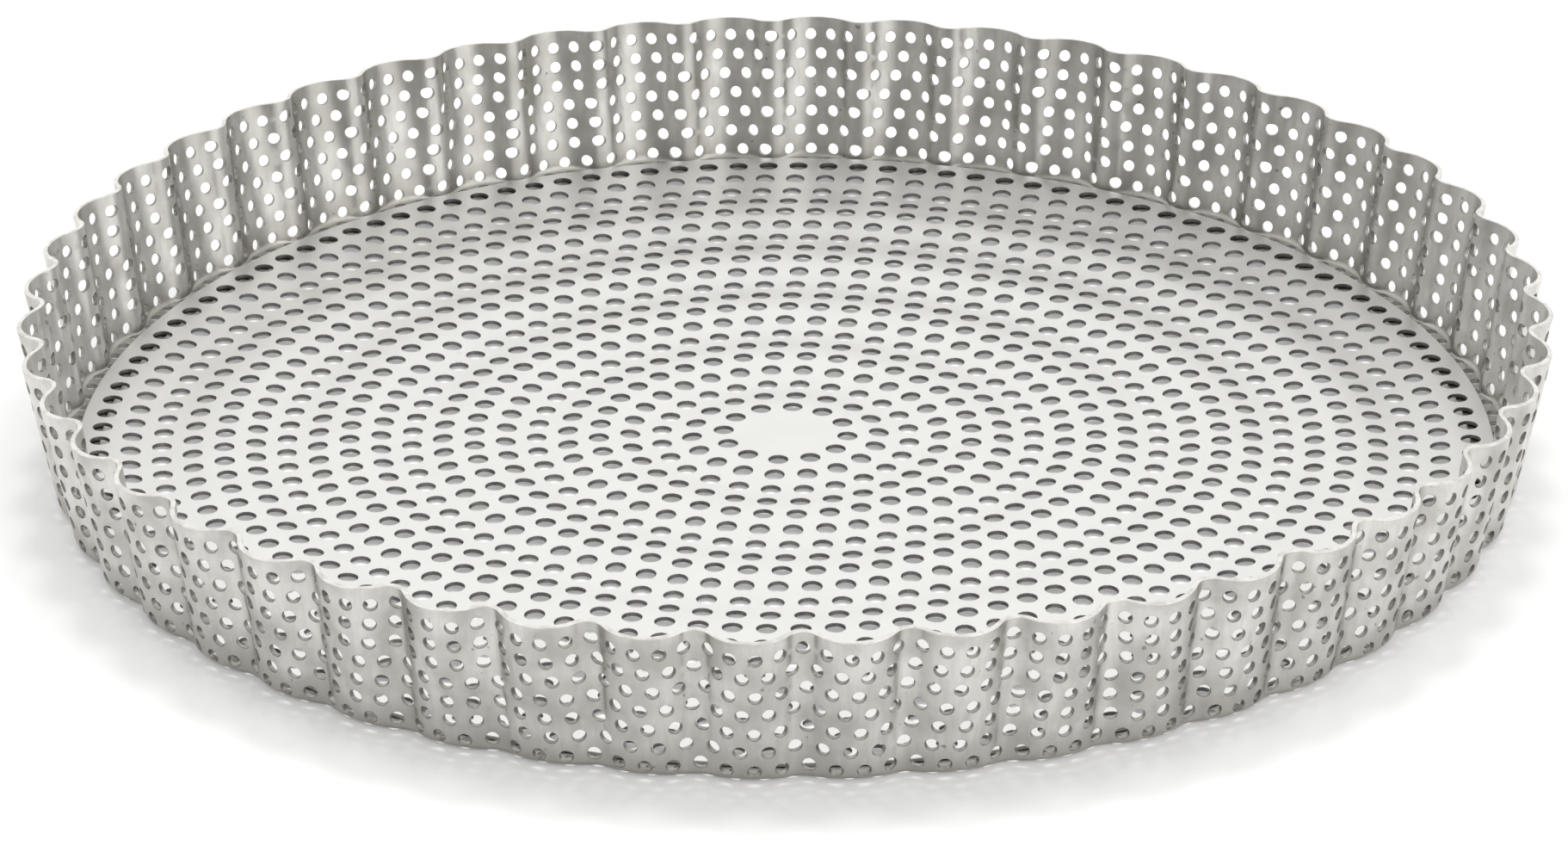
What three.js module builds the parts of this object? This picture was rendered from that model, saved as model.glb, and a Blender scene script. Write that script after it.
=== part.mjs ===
// Fluted tart pan: a fluted sheet-metal ring with an inward lip, and a loose rippled base that lies on the lip.
// Millimetres, +Z up. The origin is the centre of the underside, and one lobe of the ring points along +X.
// Both sheets are perforated. The openings here are few and large, and leave about the same share of each
// sheet open as its fine holes do.
import * as THREE from 'three';

// Fluted ring
const FLUTES = 48;
const RIM_RADIUS = 122; // over the lobes
const RIM_HEIGHT = 25; // at the lobes
const RIM_RISE = 0.5; // how much higher the rim stands at the folds
const FLUTE_DEPTH = 3.4; // at the rim
const FOOT_DEPTH = 1; // depth of the flutes at the flat underside
const LOBE_SHARE = 0.76; // the outward arc's share of each flute
const FLARE = 6.6; // rim radius less the radius of the flat underside, at the lobes
const RING_SHEET = 0.8;
const LOBE_BEND = 1.2; // inside radius of the bend into the lip
const FOLD_BEND = 0.3;
const LIP_WIDTH = 5.4;
const WALL_OPENING = 13; // height of the opening in the middle of each lobe

// Loose base
const BASE_SHEET = 0.6;
const BASE_CLEARANCE = 1; // around the base, at the folds
const SEAT_GAP = 0.15; // between the base and the lip
const TABLE_CLEARANCE = 0.35; // under the ripples
const RIPPLES = 5;
const PLATEAU_RADIUS = 10;
const CREST_WIDTH = 2; // of the plain circle between two rings of openings
const BASE_OPENING = 13; // across each opening
const OPENINGS_ADDED = 6; // from one ring of openings to the next

// Facets
const LOBE_STEPS = 6;
const FOLD_STEPS = 2;
const BEND_STEPS = 2;

const footRadius = RIM_RADIUS - FLARE;
const lipRadius = footRadius - LIP_WIDTH;
const baseRadius = footRadius - FOOT_DEPTH + FOLD_BEND - BASE_CLEARANCE;
const seatHeight = RING_SHEET + SEAT_GAP;
const rippleHeight = seatHeight - TABLE_CLEARANCE;
const ripplePitch = (lipRadius - PLATEAU_RADIUS) / RIPPLES;

// One flute seen from above: a wide outward arc and a tight inward arc that turn through the same angle.
// along runs from -1 to 1 over the flute, inward from 0 at the lobe to 1 at the fold, and opening is the
// share of the opening's full height. The opening leaves out the first and the last step of the lobe.
function fluteSteps() {
  const halfPitch = Math.PI * (RIM_RADIUS - FLUTE_DEPTH / 2) / FLUTES;
  const flank = 2 * Math.atan(FLUTE_DEPTH / halfPitch);
  const reach = Math.sin(flank);
  const drop = 1 - Math.cos(flank);
  const foldShare = 1 - LOBE_SHARE;
  const openingEnd = 1 - 2 / LOBE_STEPS;
  const steps = [];
  for (let i = 0; i < LOBE_STEPS; i++) {
    const across = 2 * i / LOBE_STEPS - 1;
    const turn = flank * across;
    steps.push({
      along: LOBE_SHARE * Math.sin(turn) / reach,
      inward: LOBE_SHARE * (1 - Math.cos(turn)) / drop,
      slope: Math.tan(turn) * reach / drop,
      opening: Math.sqrt(1 - Math.min(Math.abs(across), openingEnd) ** 2),
    });
  }
  for (let i = 0; i < FOLD_STEPS; i++) {
    const turn = flank * (1 - 2 * i / FOLD_STEPS);
    steps.push({
      along: 1 - foldShare * Math.sin(turn) / reach,
      inward: 1 - foldShare * (1 - Math.cos(turn)) / drop,
      slope: Math.tan(turn) * reach / drop,
      opening: Math.sqrt(1 - openingEnd ** 2),
    });
  }
  return steps;
}

// The outer side of the sheet at one place of a flute: the lip, the bend, the opening's two edges and the rim.
// facing is the slope of the side's normal, and shift how far the point moves along it from lobe to fold.
function ringSection(inward, opening) {
  const bendChange = FOLD_BEND - LOBE_BEND;
  const bend = RING_SHEET + LOBE_BEND + bendChange * inward;
  const rimRadius = RIM_RADIUS - FLUTE_DEPTH * inward;
  const rimHeight = RIM_HEIGHT + RIM_RISE * inward;
  const flatRadius = footRadius - FOOT_DEPTH * inward;
  const out = rimRadius - flatRadius;
  const up = rimHeight - bend;
  const lean = Math.atan2(out, up) - Math.asin(bend / Math.hypot(out, up));
  const down = -Math.PI / 2;
  const points = [{ radius: lipRadius, height: 0, facing: down, shift: 0 }];
  for (let i = 0; i <= BEND_STEPS; i++) {
    const facing = down + (-lean - down) * i / BEND_STEPS;
    points.push({
      radius: flatRadius + bend * Math.cos(facing),
      height: bend * (1 + Math.sin(facing)),
      facing,
      shift: bendChange * (1 + Math.sin(facing)) - FOOT_DEPTH * Math.cos(facing),
    });
  }
  const foot = points.at(-1);
  const rim = {
    radius: rimRadius,
    height: rimHeight,
    facing: -lean,
    shift: -FLUTE_DEPTH * Math.cos(lean) - RIM_RISE * Math.sin(lean),
  };
  const wall = Math.hypot(rim.radius - foot.radius, rim.height - foot.height);
  for (const edge of [-1, 1]) {
    const share = (1 + edge * opening * WALL_OPENING / wall) / 2;
    points.push({
      radius: THREE.MathUtils.lerp(foot.radius, rim.radius, share),
      height: THREE.MathUtils.lerp(foot.height, rim.height, share),
      facing: -lean,
      shift: THREE.MathUtils.lerp(foot.shift, rim.shift, share),
    });
  }
  points.push(rim);
  return points;
}

// A section point at an angle round the ring, moved into the sheet by depth along the surface normal.
function ringPoint(point, angle, inwardPerAngle, depth) {
  const radial = new THREE.Vector3(Math.cos(angle), Math.sin(angle), 0);
  const tangent = new THREE.Vector3(-Math.sin(angle), Math.cos(angle), 0);
  const normal = new THREE.Vector3(0, 0, Math.sin(point.facing))
    .addScaledVector(radial, Math.cos(point.facing))
    .addScaledVector(tangent, -point.shift * inwardPerAngle / point.radius)
    .normalize();
  return new THREE.Vector3(0, 0, point.height)
    .addScaledVector(radial, point.radius)
    .addScaledVector(normal, -depth);
}

function solidGeometry(vertices, faces) {
  const triangles = [];
  for (const [first, ...others] of faces) {
    for (let i = 1; i < others.length; i++) {
      triangles.push(first, others[i - 1], others[i]);
    }
  }
  const geometry = new THREE.BufferGeometry().setFromPoints(vertices);
  geometry.setIndex(triangles);
  geometry.computeVertexNormals();
  return geometry;
}

// The ring: the closed section of the sheet carried round all the flutes, with an opening in each lobe.
function ringGeometry() {
  const steps = fluteSteps();
  const vertices = [];
  let loop = 0;
  for (let flute = 0; flute < FLUTES; flute++) {
    for (const step of steps) {
      const angle = (2 * flute + step.along) * Math.PI / FLUTES;
      const inwardPerAngle = step.slope * FLUTES / Math.PI;
      const section = ringSection(step.inward, step.opening);
      const outside = section.map((point) => ringPoint(point, angle, inwardPerAngle, 0));
      const inside = section.map((point) => ringPoint(point, angle, inwardPerAngle, RING_SHEET));
      vertices.push(...outside, ...inside.reverse());
      loop = 2 * section.length;
    }
  }
  const outerHigh = loop / 2 - 2;
  const outerLow = outerHigh - 1;
  const innerHigh = loop - 1 - outerHigh;
  const innerLow = loop - 1 - outerLow;
  const columns = vertices.length / loop;
  const faces = [];
  for (let column = 0; column < columns; column++) {
    const here = column * loop;
    const next = (column + 1) % columns * loop;
    const step = column % steps.length;
    const isOpen = step >= 1 && step <= LOBE_STEPS - 2;
    for (let i = 0; i < loop; i++) {
      const j = (i + 1) % loop;
      if (!isOpen || (i !== outerLow && i !== innerHigh)) {
        faces.push([here + i, next + i, next + j, here + j]);
      }
    }
    if (isOpen) {
      faces.push([here + outerLow, next + outerLow, next + innerLow, here + innerLow]);
      faces.push([next + outerHigh, here + outerHigh, here + innerHigh, next + innerHigh]);
    }
    if (step === 1) {
      faces.push([here + outerHigh, here + outerLow, here + innerLow, here + innerHigh]);
    }
    if (step === LOBE_STEPS - 2) {
      faces.push([next + outerLow, next + outerHigh, next + innerHigh, next + innerLow]);
    }
  }
  return solidGeometry(vertices, faces);
}

// Underside of the base: flat in the middle and on the lip, with round ripples between.
function baseHeight(radius) {
  const along = THREE.MathUtils.clamp(radius, PLATEAU_RADIUS, lipRadius) - PLATEAU_RADIUS;
  return seatHeight - rippleHeight * (1 - Math.cos(2 * Math.PI * along / ripplePitch)) / 2;
}

function circlePoints(radius, count) {
  return Array.from({ length: count }, (_, i) => {
    const angle = 2 * Math.PI * i / count;
    return new THREE.Vector2(radius * Math.cos(angle), radius * Math.sin(angle));
  });
}

// Triangles between two circles of points that both start on +X.
function bandFaces(inner, outer) {
  const faces = [];
  let i = 0;
  let j = 0;
  while (i < inner.length || j < outer.length) {
    const from = inner[i % inner.length];
    const to = outer[j % outer.length];
    if ((j + 1) * inner.length <= (i + 1) * outer.length) {
      j += 1;
      faces.push([from, to, outer[j % outer.length]]);
    } else {
      i += 1;
      faces.push([from, to, inner[i % inner.length]]);
    }
  }
  return faces;
}

// The base seen from above: points, faces between them, and the loops of its openings and its edge.
// Each ripple has one ring of openings along its trough, each in a sector of its own.
function basePlan() {
  const points = [];
  const faces = [];
  const loops = [];
  const add = (added) => added.map((point) => points.push(point) - 1);
  const [centre] = add([new THREE.Vector2()]);
  let reached = [];
  for (let ripple = 0; ripple < RIPPLES; ripple++) {
    const count = OPENINGS_ADDED * (ripple + 1);
    const crest = PLATEAU_RADIUS + ripple * ripplePitch;
    const trough = crest + ripplePitch / 2;
    const inner = add(circlePoints(crest + CREST_WIDTH / 2, 2 * count));
    const sides = add(circlePoints(trough, count));
    const outer = add(circlePoints(crest + ripplePitch - CREST_WIDTH / 2, 2 * count));
    if (ripple === 0) {
      inner.forEach((point, i) => faces.push([centre, point, inner[(i + 1) % inner.length]]));
    } else {
      faces.push(...bandFaces(reached, inner));
    }
    for (let sector = 0; sector < count; sector++) {
      const start = 2 * sector;
      const end = (start + 2) % (2 * count);
      const border = [
        inner[start], sides[sector], outer[start], outer[start + 1],
        outer[end], sides[(sector + 1) % count], inner[end], inner[start + 1],
      ];
      const angle = 2 * Math.PI * (sector + 0.5) / count;
      const middle = new THREE.Vector2(trough * Math.cos(angle), trough * Math.sin(angle));
      const firstCorner = angle + 5 * Math.PI / 4;
      const opening = add(circlePoints(BASE_OPENING / 2, border.length).map(
        (point) => point.rotateAround(new THREE.Vector2(), firstCorner).add(middle),
      ));
      for (let i = 0; i < border.length; i++) {
        const j = (i + 1) % border.length;
        faces.push([border[i], border[j], opening[j], opening[i]]);
      }
      loops.push(opening);
    }
    reached = outer;
  }
  const edge = add(circlePoints(baseRadius, reached.length));
  faces.push(...bandFaces(reached, edge));
  loops.push(edge.reverse());
  return { points, faces, loops };
}

// The base: its plan on the underside and again one sheet higher, closed along the loops.
function baseGeometry() {
  const { points, faces, loops } = basePlan();
  const underside = points.map((point) => new THREE.Vector3(point.x, point.y, baseHeight(point.length())));
  const top = underside.map((point) => new THREE.Vector3(point.x, point.y, point.z + BASE_SHEET));
  const raised = (i) => i + points.length;
  const closed = [];
  for (const face of faces) {
    closed.push(face.map(raised), [...face].reverse());
  }
  for (const loop of loops) {
    loop.forEach((here, i) => {
      const next = loop[(i + 1) % loop.length];
      closed.push([raised(here), raised(next), next, here]);
    });
  }
  return solidGeometry([...underside, ...top], closed);
}

function satinSteel(color, roughness) {
  return new THREE.MeshStandardMaterial({ color, roughness, metalness: 1 });
}

function part(name, geometry, material) {
  const mesh = new THREE.Mesh(geometry, material);
  mesh.name = name;
  return mesh;
}

const pan = new THREE.Group();
pan.add(part('fluted_ring', ringGeometry(), satinSteel(0xb2b0a9, 0.34)));
pan.add(part('loose_base', baseGeometry(), satinSteel(0xd4d4d0, 0.28)));

export default pan;
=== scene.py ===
# Fluted tart pan: the perforated ring and the perforated, rippled base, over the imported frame.
# Metres, in the frame of the solids: +Z up, the underside at zero, one lobe of the ring along +X.
import math

import bpy
import numpy as np
from mathutils import Matrix, Vector
from mathutils.geometry import delaunay_2d_cdt
from mathutils.kdtree import KDTree


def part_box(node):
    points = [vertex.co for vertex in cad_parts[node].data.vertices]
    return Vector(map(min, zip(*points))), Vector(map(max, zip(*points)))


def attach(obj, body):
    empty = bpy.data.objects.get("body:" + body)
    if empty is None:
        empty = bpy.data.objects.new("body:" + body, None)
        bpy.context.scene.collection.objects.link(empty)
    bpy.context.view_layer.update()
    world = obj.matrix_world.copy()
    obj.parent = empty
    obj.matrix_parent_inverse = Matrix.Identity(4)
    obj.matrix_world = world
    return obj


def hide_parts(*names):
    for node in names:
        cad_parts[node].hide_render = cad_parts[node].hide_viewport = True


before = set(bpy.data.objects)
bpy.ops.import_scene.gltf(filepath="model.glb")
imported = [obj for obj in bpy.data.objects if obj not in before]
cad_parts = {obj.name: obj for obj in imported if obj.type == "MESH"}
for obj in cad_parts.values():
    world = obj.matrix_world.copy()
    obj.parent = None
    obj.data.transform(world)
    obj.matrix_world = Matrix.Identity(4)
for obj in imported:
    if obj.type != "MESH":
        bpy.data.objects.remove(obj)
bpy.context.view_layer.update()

MM = 0.001
UP = np.array((0.0, 0.0, 1.0))

# Fluted ring
FLUTES = 48
RIM_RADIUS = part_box("fluted_ring")[1].x
RIM_HEIGHT = 25 * MM
RIM_RISE = 0.5 * MM
FLUTE_DEPTH = 3.4 * MM
FOOT_DEPTH = 1 * MM
LOBE_SHARE = 0.76
FLARE = 6.6 * MM
RING_SHEET = 0.8 * MM
LOBE_BEND = 1.2 * MM
FOLD_BEND = 0.3 * MM
LIP_WIDTH = 5.4 * MM
FOOT_RADIUS = RIM_RADIUS - FLARE
HALF_FLUTE = math.pi * (RIM_RADIUS - FLUTE_DEPTH / 2) / FLUTES
FLANK = 2 * math.atan(FLUTE_DEPTH / HALF_FLUTE)

# Perforation of the ring: rows of holes below the rim, a little higher at the folds,
# with the number of holes in each row and where it starts, in hole spacings
WALL_HOLE = 1.05 * MM
FIRST_ROW = 3.05 * MM
ROW_STEP = 3.41 * MM
FOLD_LIFT = 0.33 * MM
ROW_COUNTS = (216, 208, 200, 200, 192, 184, 184, 176)
ROW_STARTS = (-0.24, 0.41, 0.07, -0.43, 0.17, -0.17, 0.33, -0.17)

# Loose base
BASE_SHEET = 0.6 * MM
BASE_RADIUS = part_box("loose_base")[1].x
BASE_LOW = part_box("loose_base")[0].z
BASE_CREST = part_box("loose_base")[1].z - BASE_SHEET
PLATEAU_RADIUS = 10 * MM
RIPPLE_END = 110 * MM
RIPPLES = 5
BASE_HOLE = 1.5 * MM
HOLE_STEP = 5 * MM
HOLE_RINGS = range(2, 23)
HOLES_PER_STEP = 6
BASE_TURN = math.radians(18.4)

# Cut edges: how far the punch rolled the sheet over on the near side and on the far side
RING_EDGES = (0.1 * MM, 0.06 * MM)
BASE_EDGES = (0.05 * MM, 0.15 * MM)

# Meshing
WALL_HOLE_SIDES = 12
BASE_HOLE_SIDES = 14
LOBE_COLUMNS = 9
FOLD_COLUMNS = 7
WALL_ROWS = 13
BEND_ROWS = 5
LIP_ROWS = 3
PLATEAU_CIRCLES = range(1, 4)
TRACK_STEPS = 64
HOLE_MARGIN = 0.35 * MM
PLAN_RADIUS = 138 * MM
PLAN_UNIT = 1000
PLAN_EPSILON = 1e-5

# Texture map: middle and size of the place of each side
RING_ISLANDS = ((0.5, 0.5, 0.49), (0.5, 0.5, 0.36))
BASE_ISLANDS = ((0.295, 0.295, 0.35), (0.705, 0.705, 0.35))

# Camera
LENS = 161.5
SENSOR = 36.0
VIEW_DISTANCE = 1136.5 * MM
VIEW_ELEVATION = math.radians(25.07)
VIEW_TURN = math.radians(-4.95)
VIEW_TARGET = Vector((-0.24 * MM, 5.655 * MM, 0.12 * MM))

# Light: panels as azimuth and elevation, inner and outer half-width in degrees, and strength
ROOM_LEVEL = 0.455
ROOM_COLOUR = (1.0, 0.995, 0.975, 1)
PANELS = (
    (180, 40, 42, 84, 0.72),
    (49, 32, 23, 39, 1.45),
    (-75, 35, 20, 45, 0.3),
)

# Lamps over the table: azimuth and elevation, spread in degrees, and strength
LAMPS = (
    ("lamp_behind", 180, 62, 12, 0.9),
    ("lamp_back_left", -136, 63, 16, 0.6),
    ("lamp_back_right", 136, 63, 16, 0.6),
)
FLOOR_COLOUR = (0.6, 0.6, 0.6, 1)
FLOOR_LIFT = 0.2
FLOOR_REACH = 12.0

# Finish of the sheets: sizes of the marks as noise scales per metre, and depths of the relief
SMUDGE_SCALE = 130
DENT_SCALE = 110
GRAIN_SCALE = 2200
SPECK_SCALE = 620
RING_STREAKS = (900, 900, 60)
BASE_STREAKS = (260, 260, 260)
DENT_DEPTH = 0.1 * MM
DENT_STRENGTH = 0.6
GRAIN_DEPTH = 0.01 * MM
GRAIN_STRENGTH = 0.5
BURR_DEPTH = 0.02 * MM
BURR_STRENGTH = 0.6
ROLLED_TURN = 0.25

# How noise, or height for the painted shade towards the foot, becomes cleanness or roughness: from
# low and high, to low and high
SMUDGE_CLEAN = (0.35, 0.62, 0.2, 1)
STREAK_CLEAN = (0.3, 0.6, 0.6, 1)
# painted shade, with a little tarnish: darker low down, where the sheet reflects the shaded table
FOOT_SHADE = (0.5 * MM, 6 * MM, 0, 1)
PATCH_CLEAN = (0.3, 0.6, 0, 1)
SPECK_NOISE = (0.75, 0.79)
GRAIN_NOISE = (0.3, 0.7)
STREAK_ROUGH = (0.3, 0.7, -0.05, 0.05)
SMUDGE_ROUGH = (0.3, 0.7, 0.05, -0.04)
GRAIN_ROUGH = 0.03
CUT_ROUGH = 0.08


def flute(position):
    """Angle round the ring, share of the flute's depth and its rate by angle.
    position is a place round the ring, counted in flutes."""
    nearest = np.round(position)
    across = 2 * (position - nearest)
    side = np.sign(across)
    reach = np.abs(across)
    lobe = reach <= LOBE_SHARE
    share = np.where(lobe, LOBE_SHARE, 1 - LOBE_SHARE)
    turn = FLANK * np.where(lobe, reach, 1 - reach) / share
    along = share * np.sin(turn) / math.sin(FLANK)
    inward = share * (1 - np.cos(turn)) / (1 - math.cos(FLANK))
    along = np.where(lobe, along, 1 - along)
    inward = np.where(lobe, inward, 1 - inward)
    slope = side * np.tan(turn) * math.sin(FLANK) / (1 - math.cos(FLANK))
    angle = (2 * nearest + side * along) * math.pi / FLUTES
    return angle, inward, slope * FLUTES / math.pi


def section(inward):
    """Outer bend radius, lean of the wall, and lengths of the wall, the bend and the lip.
    inward is the share of the flute's depth there."""
    bend = RING_SHEET + LOBE_BEND + (FOLD_BEND - LOBE_BEND) * inward
    out = RIM_RADIUS - FLUTE_DEPTH * inward - FOOT_RADIUS + FOOT_DEPTH * inward
    up = RIM_HEIGHT + RIM_RISE * inward - bend
    wall = np.sqrt(out ** 2 + up ** 2 - bend ** 2)
    lean = np.arctan2(out, up) - np.arctan2(bend, wall)
    return bend, lean, wall, bend * (math.pi / 2 - lean), LIP_WIDTH - FOOT_DEPTH * inward


def ring_side(position, slant):
    """Points and normals of the ring's outer side.
    position counts flutes round the ring, slant is the distance from the rim along the sheet."""
    angle, inward, rate = flute(position)
    bend, lean, wall, curve, _ = section(inward)
    on_wall = slant < wall
    turned = np.clip((slant - wall) / bend, 0, math.pi / 2 - lean)
    facing = -lean - turned
    flat_radius = FOOT_RADIUS - FOOT_DEPTH * inward - np.maximum(slant - wall - curve, 0)
    wall_radius = RIM_RADIUS - FLUTE_DEPTH * inward - slant * np.sin(lean)
    wall_height = RIM_HEIGHT + RIM_RISE * inward - slant * np.cos(lean)
    radius = np.where(on_wall, wall_radius, flat_radius + bend * np.cos(facing))
    height = np.where(on_wall, wall_height, bend * (1 + np.sin(facing)))
    rim_shift = -FLUTE_DEPTH * np.cos(lean) - RIM_RISE * np.sin(lean)
    bend_shift = (FOLD_BEND - LOBE_BEND) * (1 + np.sin(facing)) - FOOT_DEPTH * np.cos(facing)
    shift = np.where(on_wall, rim_shift + (bend_shift - rim_shift) * slant / wall, bend_shift)
    radial = np.stack((np.cos(angle), np.sin(angle), 0 * angle), axis=-1)
    tangent = np.stack((-np.sin(angle), np.cos(angle), 0 * angle), axis=-1)
    points = radial * radius[..., None] + UP * height[..., None]
    normals = radial * np.cos(facing)[..., None] + UP * np.sin(facing)[..., None]
    normals = normals - tangent * (shift * rate / radius)[..., None]
    return points, normals / np.linalg.norm(normals, axis=-1, keepdims=True)


def ring_plan(position, slant):
    """The ring's sheet laid flat as a wide ring, rim outward."""
    angle = 2 * math.pi * position / FLUTES
    radius = PLAN_RADIUS - slant
    return np.stack((radius * np.cos(angle), radius * np.sin(angle)), axis=-1)


def base_side(x, y):
    """Points and normals of the base's underside."""
    radius = np.hypot(x, y)
    pitch = (RIPPLE_END - PLATEAU_RADIUS) / RIPPLES
    phase = 2 * math.pi * (np.clip(radius, PLATEAU_RADIUS, RIPPLE_END) - PLATEAU_RADIUS) / pitch
    half_height = (BASE_CREST - BASE_LOW) / 2
    height = BASE_CREST - half_height * (1 - np.cos(phase))
    slope = -half_height * np.sin(phase) * 2 * math.pi / pitch
    over = slope / np.maximum(radius, MM)
    points = np.stack((x, y, height), axis=-1)
    normals = np.stack((x * over, y * over, -np.ones_like(x)), axis=-1)
    return points, normals / np.linalg.norm(normals, axis=-1, keepdims=True)


def base_plan(x, y):
    """The base's sheet laid flat."""
    return np.stack((x, y), axis=-1)


def circle(sides):
    """Cosines and sines of a loop that runs anticlockwise."""
    angle = 2 * math.pi * np.arange(sides) / sides
    return np.cos(angle), np.sin(angle)


def wall_row(slant, count, start, radius):
    """Loops of one row of holes, evenly spaced along the sheet, as positions and slants."""
    track = np.linspace(0, FLUTES, TRACK_STEPS * FLUTES + 1)
    row = slant - FOLD_LIFT * flute(track)[1]
    points, _ = ring_side(track, row)
    length = np.concatenate(((0,), np.cumsum(np.linalg.norm(np.diff(points, axis=0), axis=1))))
    cosines, sines = circle(WALL_HOLE_SIDES)
    middle = (np.arange(count) + start) * length[-1] / count
    along = middle[:, None] + radius * sines
    position = np.interp(along % length[-1], length, track)
    return position, np.interp(middle % length[-1], length, row)[:, None] - radius * cosines


def wall_holes(radius):
    """Loops of all the wall's holes."""
    rows = [
        wall_row(FIRST_ROW + row * ROW_STEP, count, start, radius)
        for row, (count, start) in enumerate(zip(ROW_COUNTS, ROW_STARTS))
    ]
    return np.concatenate([row[0] for row in rows]), np.concatenate([row[1] for row in rows])


def base_centres():
    """Middles of the base's holes: rings one step apart, each with six holes more than the last."""
    centres = []
    for ring in HOLE_RINGS:
        angle = BASE_TURN + 2 * math.pi * np.arange(HOLES_PER_STEP * ring) / (HOLES_PER_STEP * ring)
        centres.append(ring * HOLE_STEP * np.stack((np.cos(angle), np.sin(angle)), axis=-1))
    return np.concatenate(centres)


def base_holes(radius):
    """Loops of all the base's holes."""
    cosines, sines = circle(BASE_HOLE_SIDES)
    middle = base_centres()
    return middle[:, :1] + radius * cosines, middle[:, 1:] + radius * sines


def ring_columns():
    """Places round the ring for the mesh's columns, closer together at the folds."""
    lobe = LOBE_SHARE * (2 * np.arange(LOBE_COLUMNS) / LOBE_COLUMNS - 1)
    fold = LOBE_SHARE + (1 - LOBE_SHARE) * 2 * np.arange(FOLD_COLUMNS) / FOLD_COLUMNS
    one = np.concatenate((lobe, fold)) / 2
    return (np.arange(FLUTES)[:, None] + one).ravel() % FLUTES


def ring_grid():
    """Loose points of the ring's mesh, over the wall, the bend and the lip."""
    columns = ring_columns()
    _, inward, _ = flute(columns)
    _, _, wall, curve, lip = section(inward)
    slants = [wall * row / WALL_ROWS for row in range(1, WALL_ROWS)]
    slants += [wall + curve * row / BEND_ROWS for row in range(BEND_ROWS + 1)]
    slants += [wall + curve + lip * row / LIP_ROWS for row in range(1, LIP_ROWS)]
    return np.tile(columns, len(slants)), np.concatenate(slants)


def base_grid():
    """Loose points of the base's mesh: between the holes of each ring, on circles between the
    rings, and over the plateau."""
    x, y = [np.zeros(1)], [np.zeros(1)]
    circles = [(ring * HOLE_STEP, HOLES_PER_STEP * ring, 0.5) for ring in HOLE_RINGS]
    circles += [((ring + 0.5) * HOLE_STEP, 2 * HOLES_PER_STEP * ring, 0.25) for ring in HOLE_RINGS]
    circles += [(ring * HOLE_STEP / 2, 2 * HOLES_PER_STEP * ring, 0) for ring in PLATEAU_CIRCLES]
    for radius, count, start in circles:
        angle = BASE_TURN + 2 * math.pi * (np.arange(count) + start) / count
        x.append(radius * np.cos(angle))
        y.append(radius * np.sin(angle))
    return np.concatenate(x), np.concatenate(y)


def triangulate(plan, loops):
    """Triangles of a plan between its loops and loose points, none of them inside a loop."""
    owner = np.full(len(plan), -1)
    edges = []
    for number, loop in enumerate(loops):
        owner[loop] = number
        edges += zip(loop.tolist(), np.roll(loop, -1).tolist())
    points = [Vector(point) for point in (plan * PLAN_UNIT).tolist()]
    found = delaunay_2d_cdt(points, edges, [], 0, PLAN_EPSILON)
    source = np.array([first[0] for first in found[3]])
    triangles = source[np.array(found[2])]
    owners = owner[triangles]
    inside = (owners[:, 0] >= 0) & (owners == owners[:, :1]).all(axis=1)
    return triangles[~inside]


def clear_of(points, middles, distance):
    """Which points are farther than distance from every middle."""
    tree = KDTree(len(middles))
    for number, middle in enumerate(middles):
        tree.insert((*middle, 0), number)
    tree.balance()
    return np.array([tree.find((*point, 0))[2] > distance for point in points])


def joined(sets):
    """All points of some sets of loops, as two rows of coordinates."""
    return np.concatenate([np.stack(loops).reshape(2, -1) for loops in sets], axis=1)


def loop_numbers(sets):
    """The points' numbers in each loop."""
    numbers, start = [], 0
    for loops in sets:
        shape = np.shape(loops[0])
        numbers += list(start + np.arange(shape[0] * shape[1]).reshape(shape))
        start += shape[0] * shape[1]
    return numbers


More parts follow.
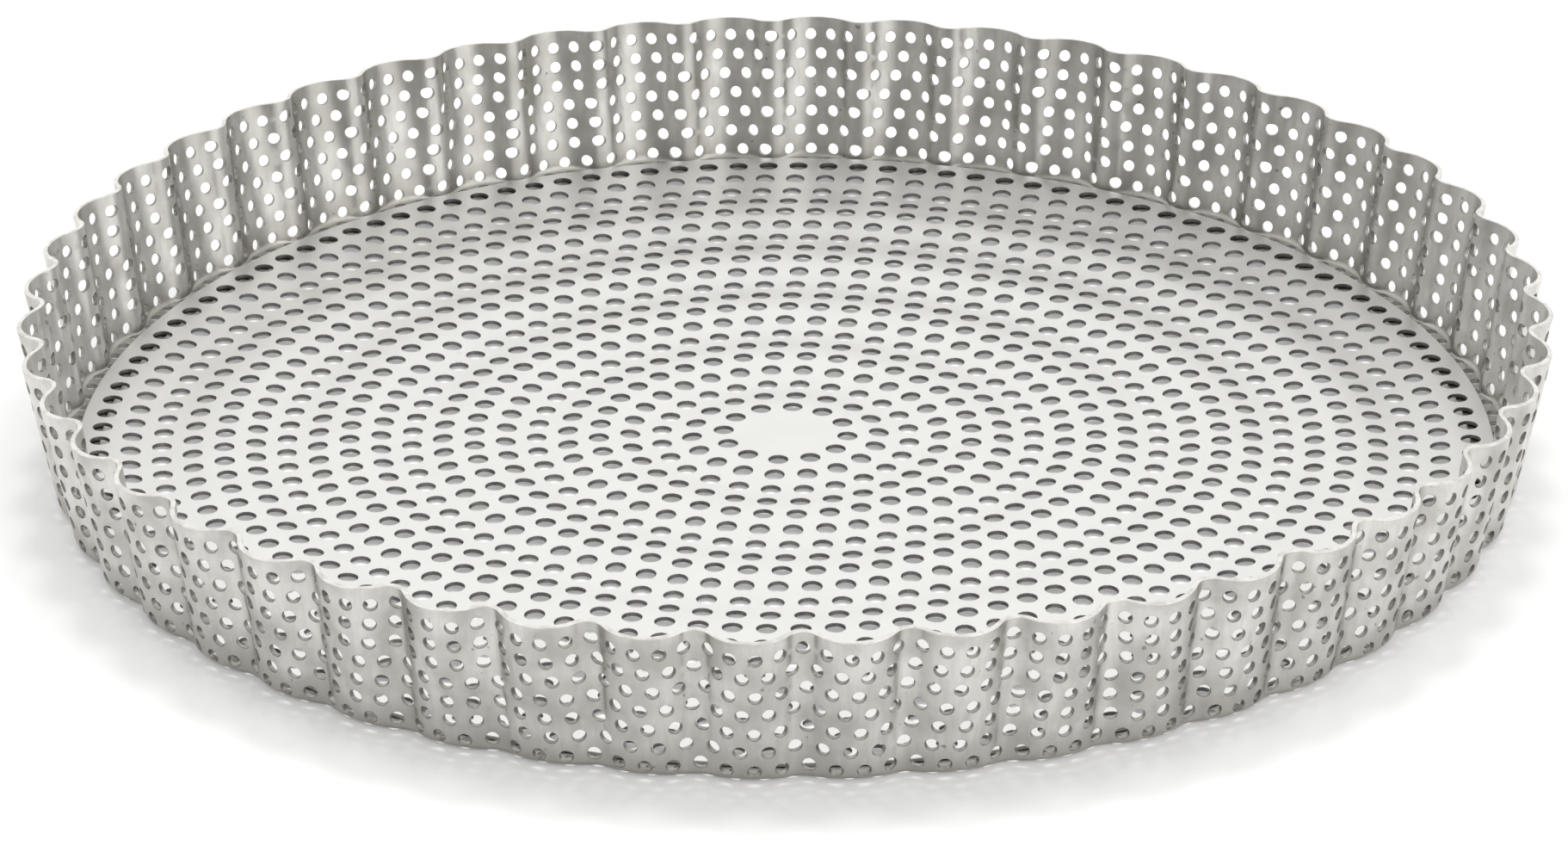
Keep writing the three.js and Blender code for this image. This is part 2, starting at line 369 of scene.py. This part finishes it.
def perforated_sheet(name, side, plan, sheet, edges, cuts, grid, islands):
    """A sheet with cut edges that are rolled over a little. side gives the near side's points and
    normals. cuts(edge) gives sets of loops, the holes first, moved into the sheet by edge; the
    sheet is on their right."""
    bare_sets = cuts(0)
    loops = loop_numbers(bare_sets)
    bare = joined(bare_sets)
    bare_plan = plan(*bare)
    holes = bare_plan[:bare_sets[0][0].size].reshape(*bare_sets[0][0].shape, 2)
    middles = holes.mean(axis=1)
    reach = np.linalg.norm(holes[0, 0] - middles[0]) + max(edges) + HOLE_MARGIN
    grid = np.stack(grid)
    grid = grid[:, clear_of(plan(*grid), middles, reach)]
    near_place, far_place = (np.concatenate((joined(cuts(edge)), grid), axis=1) for edge in edges)
    near_plan, far_plan = plan(*near_place), plan(*far_place)
    triangles = triangulate(far_plan, loops)

    near, near_normals = side(*near_place)
    far, far_normals = side(*far_place)
    cut, normals = side(*bare)
    order = np.concatenate(loops)
    after = np.concatenate([np.roll(loop, -1) for loop in loops])
    before = np.concatenate([np.roll(loop, 1) for loop in loops])
    cut_normals = np.empty_like(cut)
    cut_normals[order] = np.cross(cut[after] - cut[before], normals[order])
    cut_normals /= np.linalg.norm(cut_normals, axis=1, keepdims=True)
    vertices = (
        near,
        far - sheet * far_normals,
        cut - edges[0] * normals,
        cut - (sheet - edges[1]) * normals,
    )
    starts = np.cumsum([0] + [len(points) for points in vertices])

    deep_plan = bare_plan + (bare_plan - far_plan[:len(bare_plan)]) * sheet / (2 * edges[1])
    near_map, far_map, bare_near, bare_far, deep = (
        (x, y) + size * flat / PLAN_RADIUS
        for flat, (x, y, size) in (
            (near_plan, islands[0]),
            (far_plan, islands[1]),
            (bare_plan, islands[0]),
            (bare_plan, islands[1]),
            (deep_plan, islands[0]),
        )
    )
    faces = [triangles[:, ::-1] + starts[0], triangles + starts[1]]
    maps = [near_map[triangles[:, ::-1]], far_map[triangles]]
    bands = ((0, 2, near_map, bare_near), (2, 3, bare_near, deep), (3, 1, bare_far, far_map))
    for low, high, low_map, high_map in bands:
        low, high = starts[low], starts[high]
        corners = (after + low, order + low, order + high, after + high)
        corner_maps = (low_map[after], low_map[order], high_map[order], high_map[after])
        faces.append(np.stack(corners, axis=1))
        maps.append(np.stack(corner_maps, axis=1))
    hole_points = bare_sets[0][0].size
    band = np.repeat((1, 2), (hole_points, len(order) - hole_points))
    slots = np.concatenate((np.zeros(2 * len(triangles), int), np.tile(band, len(bands))))

    mesh = bpy.data.meshes.new(name)
    corner_lists = sum((part.tolist() for part in faces), [])
    mesh.from_pydata(np.concatenate(vertices), [], corner_lists, shade_flat=False)
    mesh.polygons.foreach_set("material_index", slots)
    places = np.concatenate([part.reshape(-1, 2) for part in maps])
    mesh.uv_layers.new(name="OFBake").uv.foreach_set("vector", places.ravel())
    mesh.normals_split_custom_set_from_vertices(
        np.concatenate((near_normals, -far_normals, cut_normals, cut_normals))
    )
    piece = bpy.data.objects.new(name, mesh)
    bpy.context.scene.collection.objects.link(piece)
    return piece


def ring_cuts(edge):
    """Loops of the wall's holes, the rim and the lip's edge."""
    columns = np.sort(ring_columns())[None, :]
    _, inward, _ = flute(columns)
    _, _, wall, curve, width = section(inward)
    rim = (columns[:, ::-1], np.full_like(columns, edge))
    lip = (columns, wall + curve + width - edge)
    return [wall_holes(WALL_HOLE + edge), rim, lip]


def base_cuts(edge):
    """Loops of the base's holes and its outer edge."""
    cosines, sines = circle(2 * HOLES_PER_STEP * HOLE_RINGS[-1])
    radius = BASE_RADIUS - edge
    rim = (radius * cosines[None, ::-1], radius * sines[None, ::-1])
    return [base_holes(BASE_HOLE + edge), rim]


def make_ring():
    """The fluted wall with its lip."""
    return perforated_sheet(
        "perforated_ring", ring_side, ring_plan, RING_SHEET, RING_EDGES,
        ring_cuts, ring_grid(), RING_ISLANDS,
    )


def make_base():
    """The loose base."""
    return perforated_sheet(
        "perforated_base", base_side, base_plan, BASE_SHEET, BASE_EDGES,
        base_cuts, base_grid(), BASE_ISLANDS,
    )


def node(tree, kind, **inputs):
    """A shader node with some of its inputs set, or linked where the value is a socket."""
    made = tree.nodes.new(kind)
    for key, value in inputs.items():
        socket = made.inputs[key]
        if isinstance(value, bpy.types.NodeSocket):
            tree.links.new(value, socket)
        else:
            socket.default_value = value
    return made


def noise(tree, place, scale, detail):
    """Noise over the surface, fixed to the piece."""
    return node(tree, "ShaderNodeTexNoise", Vector=place, Scale=scale, Detail=detail).outputs["Fac"]


def spread(tree, value, low, high, to_low, to_high):
    """A value carried over from one range to another, and held inside it."""
    limits = {"From Min": low, "From Max": high, "To Min": to_low, "To Max": to_high}
    return node(tree, "ShaderNodeMapRange", Value=value, **limits).outputs["Result"]


def combine(tree, operation, first, second):
    """Two values joined by a sum or a product."""
    made = tree.nodes.new("ShaderNodeMath")
    made.operation = operation
    for socket, value in zip(made.inputs, (first, second)):
        tree.links.new(value, socket)
    return made.outputs[0]


def steel(name, clean, stained_and_shaded, roughness, streaks, speck_level, rolled):
    """Satin sheet with smudges, streaks, dark specks, fine grain and shallow dents, and painted
    shade with a little tarnish, darker towards the foot. rolled is how much the rolling grain round
    the piece stretches the highlights."""
    material = bpy.data.materials.new(name)
    material.use_nodes = True
    tree = material.node_tree
    place = tree.nodes.new("ShaderNodeTexCoord").outputs["Object"]
    drawn = node(tree, "ShaderNodeMapping", Vector=place, Scale=streaks).outputs["Vector"]
    streak = noise(tree, drawn, scale=1, detail=3)
    smudge = noise(tree, place, SMUDGE_SCALE, detail=5)
    grain = noise(tree, place, GRAIN_SCALE, detail=2)
    height = node(tree, "ShaderNodeSeparateXYZ", Vector=place).outputs["Z"]

    smudged = spread(tree, smudge, *SMUDGE_CLEAN)
    streaked = spread(tree, streak, *STREAK_CLEAN)
    worn_and_foot_shade = combine(tree, "MULTIPLY", smudged, streaked)
    # painted shade towards the foot, mixed into the mask of the real smudges and streaks
    worn_and_foot_shade = combine(tree, "MULTIPLY", worn_and_foot_shade, spread(tree, height, *FOOT_SHADE))
    tint = node(tree, "ShaderNodeValToRGB", Fac=worn_and_foot_shade)
    tint.color_ramp.elements[0].color = (*stained_and_shaded, 1)
    tint.color_ramp.elements[1].color = (*clean, 1)
    specks = noise(tree, place, SPECK_SCALE, detail=1)
    speck = spread(tree, specks, *SPECK_NOISE, 1, speck_level)
    colour = tree.nodes.new("ShaderNodeVectorMath")
    colour.operation = "SCALE"
    tree.links.new(tint.outputs["Color"], colour.inputs["Vector"])
    tree.links.new(speck, colour.inputs["Scale"])

    rough = combine(
        tree, "ADD", spread(tree, streak, *STREAK_ROUGH), spread(tree, smudge, *SMUDGE_ROUGH)
    )
    fine = spread(tree, grain, *GRAIN_NOISE, roughness - GRAIN_ROUGH, roughness + GRAIN_ROUGH)
    rough = combine(tree, "ADD", rough, fine)
    dent = noise(tree, place, DENT_SCALE, detail=1)
    dents = node(tree, "ShaderNodeBump", Height=dent, Strength=DENT_STRENGTH, Distance=DENT_DEPTH)
    relief = node(
        tree, "ShaderNodeBump",
        Height=grain, Normal=dents.outputs["Normal"],
        Strength=GRAIN_STRENGTH, Distance=GRAIN_DEPTH,
    )
    shader = tree.nodes["Principled BSDF"]
    shader.inputs["Metallic"].default_value = 1
    tree.links.new(colour.outputs["Vector"], shader.inputs["Base Color"])
    tree.links.new(rough, shader.inputs["Roughness"])
    tree.links.new(relief.outputs["Normal"], shader.inputs["Normal"])
    around = tree.nodes.new("ShaderNodeTangent")
    around.direction_type = "RADIAL"
    around.axis = "Z"
    tree.links.new(around.outputs["Tangent"], shader.inputs["Tangent"])
    shader.inputs["Anisotropic"].default_value = rolled
    shader.inputs["Anisotropic Rotation"].default_value = ROLLED_TURN
    return material


def cut_steel(name, bright, dull, roughness):
    """Sheared edge of a sheet: fine grain in its relief and roughness, and dull patches."""
    material = bpy.data.materials.new(name)
    material.use_nodes = True
    tree = material.node_tree
    place = tree.nodes.new("ShaderNodeTexCoord").outputs["Object"]
    patch = noise(tree, place, SPECK_SCALE, detail=3)
    grain = noise(tree, place, GRAIN_SCALE, detail=3)
    tint = node(tree, "ShaderNodeValToRGB", Fac=spread(tree, patch, *PATCH_CLEAN))
    tint.color_ramp.elements[0].color = (*dull, 1)
    tint.color_ramp.elements[1].color = (*bright, 1)
    relief = node(
        tree, "ShaderNodeBump", Height=grain, Strength=BURR_STRENGTH, Distance=BURR_DEPTH
    )
    rough = spread(tree, grain, *GRAIN_NOISE, roughness - CUT_ROUGH, roughness + CUT_ROUGH)
    shader = tree.nodes["Principled BSDF"]
    shader.inputs["Metallic"].default_value = 1
    tree.links.new(tint.outputs["Color"], shader.inputs["Base Color"])
    tree.links.new(rough, shader.inputs["Roughness"])
    tree.links.new(relief.outputs["Normal"], shader.inputs["Normal"])
    return material


def make_floor():
    """A white table top, lifted a little where it is seen, and open from below."""
    mesh = bpy.data.meshes.new("studio_floor")
    sides = ((-1, -1), (1, -1), (1, 1), (-1, 1))
    corners = [(x * FLOOR_REACH, y * FLOOR_REACH, 0) for x, y in sides]
    mesh.from_pydata(corners, [], [(0, 1, 2, 3)])
    floor = bpy.data.objects.new("studio_floor", mesh)
    bpy.context.scene.collection.objects.link(floor)
    material = bpy.data.materials.new("studio_floor")
    material.use_nodes = True
    tree = material.node_tree
    tree.nodes.clear()
    path = tree.nodes.new("ShaderNodeLightPath").outputs
    seen = combine(tree, "ADD", path["Is Camera Ray"], path["Is Glossy Ray"])
    seen = combine(tree, "ADD", seen, path["Is Transmission Ray"])
    white = node(tree, "ShaderNodeBsdfDiffuse", Color=FLOOR_COLOUR)
    lift = node(tree, "ShaderNodeEmission", Strength=spread(tree, seen, 0, 1, 0, FLOOR_LIFT))
    top = tree.nodes.new("ShaderNodeAddShader")
    clear = tree.nodes.new("ShaderNodeBsdfTransparent")
    below = tree.nodes.new("ShaderNodeNewGeometry").outputs["Backfacing"]
    surface = node(tree, "ShaderNodeMixShader", Fac=below)
    output = tree.nodes.new("ShaderNodeOutputMaterial")
    tree.links.new(white.outputs[0], top.inputs[0])
    tree.links.new(lift.outputs[0], top.inputs[1])
    tree.links.new(top.outputs[0], surface.inputs[1])
    tree.links.new(clear.outputs[0], surface.inputs[2])
    tree.links.new(surface.outputs[0], output.inputs[0])
    mesh.materials.append(material)
    return floor


def toward(azimuth, elevation):
    """A direction seen from the pan, in degrees: azimuth from the camera's side round to the
    right, and elevation."""
    turn, rise = math.radians(azimuth), math.radians(elevation)
    level = math.cos(rise)
    way = Vector((math.sin(turn) * level, -math.cos(turn) * level, math.sin(rise)))
    return Matrix.Rotation(VIEW_TURN, 3, "Z") @ way


def make_world():
    """Soft studio surroundings: a dim room with large bright panels."""
    world = bpy.data.worlds.new("studio")
    bpy.context.scene.world = world
    world.use_nodes = True
    tree = world.node_tree
    looking = tree.nodes.new("ShaderNodeTexCoord").outputs["Generated"]
    level = ROOM_LEVEL
    for azimuth, elevation, inner, outer, strength in PANELS:
        facing = node(tree, "ShaderNodeVectorMath", Vector=looking)
        facing.operation = "DOT_PRODUCT"
        facing.inputs[1].default_value = toward(azimuth, elevation)
        panel = node(tree, "ShaderNodeMapRange", Value=facing.outputs["Value"])
        panel.interpolation_type = "SMOOTHSTEP"
        panel.inputs["From Min"].default_value = math.cos(math.radians(outer))
        panel.inputs["From Max"].default_value = math.cos(math.radians(inner))
        panel.inputs["To Max"].default_value = strength
        total = tree.nodes.new("ShaderNodeMath")
        tree.links.new(panel.outputs["Result"], total.inputs[0])
        if isinstance(level, float):
            total.inputs[1].default_value = level
        else:
            tree.links.new(level, total.inputs[1])
        level = total.outputs[0]
    background = tree.nodes["Background"]
    background.inputs["Color"].default_value = ROOM_COLOUR
    tree.links.new(level, background.inputs["Strength"])


def make_lamps():
    """Lamps for the table, high behind the pan, which throw its shadow forward."""
    for name, azimuth, elevation, width, strength in LAMPS:
        light = bpy.data.lights.new(name, "SUN")
        light.energy = strength
        light.angle = math.radians(width)
        lamp = bpy.data.objects.new(name, light)
        bpy.context.scene.collection.objects.link(lamp)
        lamp.rotation_euler = toward(azimuth, elevation).to_track_quat("Z", "Y").to_euler()
        lamp.visible_glossy = False


def make_camera():
    """The photograph's viewpoint."""
    data = bpy.data.cameras.new("photo_view")
    data.lens = LENS
    data.sensor_width = SENSOR
    data.sensor_fit = "HORIZONTAL"
    camera = bpy.data.objects.new("photo_view", data)
    bpy.context.scene.collection.objects.link(camera)
    back = Vector((0, -math.cos(VIEW_ELEVATION), math.sin(VIEW_ELEVATION)))
    turn = Matrix.Rotation(VIEW_TURN, 4, "Z")
    camera.location = turn @ (VIEW_TARGET + VIEW_DISTANCE * back)
    camera.rotation_euler = (turn @ -back).to_track_quat("-Z", "Y").to_euler()
    bpy.context.scene.camera = camera


make_camera()
make_world()
make_lamps()
floor = make_floor()
ring = make_ring()
base = make_base()
ring_finish = (
    steel(
        "ring_sheet", clean=(0.69, 0.686, 0.66), stained_and_shaded=(0.44, 0.427, 0.395), roughness=0.36,
        streaks=RING_STREAKS, speck_level=0.55, rolled=0.85,
    ),
    # painted shade: the walls of the ring's holes are darker than the sheet to stand for the shade
    # inside them
    cut_steel("ring_hole_painted_shade", bright=(0.4, 0.39, 0.37), dull=(0.26, 0.25, 0.235), roughness=0.45),
    # painted highlight: the rim's and lip's cut edges are lighter than the sheet
    cut_steel("ring_edge_painted_highlight", bright=(0.78, 0.775, 0.75), dull=(0.6, 0.59, 0.56), roughness=0.34),
)
base_finish = (
    steel(
        "base_sheet", clean=(0.84, 0.84, 0.83), stained_and_shaded=(0.77, 0.77, 0.76), roughness=0.45,
        streaks=BASE_STREAKS, speck_level=0.92, rolled=0,
    ),
    # painted shade: the walls of the base's holes are dark to stand for the shade inside them
    cut_steel("base_hole_painted_shade", bright=(0.22, 0.216, 0.21), dull=(0.13, 0.127, 0.122), roughness=0.45),
    cut_steel("base_edge", bright=(0.7, 0.695, 0.68), dull=(0.5, 0.49, 0.47), roughness=0.4),
)
for piece, body, solid, slot, finish in (
    (ring, "ring", "fluted_ring", "ring_steel", ring_finish),
    (base, "base", "loose_base", "base_steel", base_finish),
):
    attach(piece, body)
    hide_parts(solid)
    for material in finish:
        piece.data.materials.append(material)

bpy.context.scene.view_settings.view_transform = "Standard"
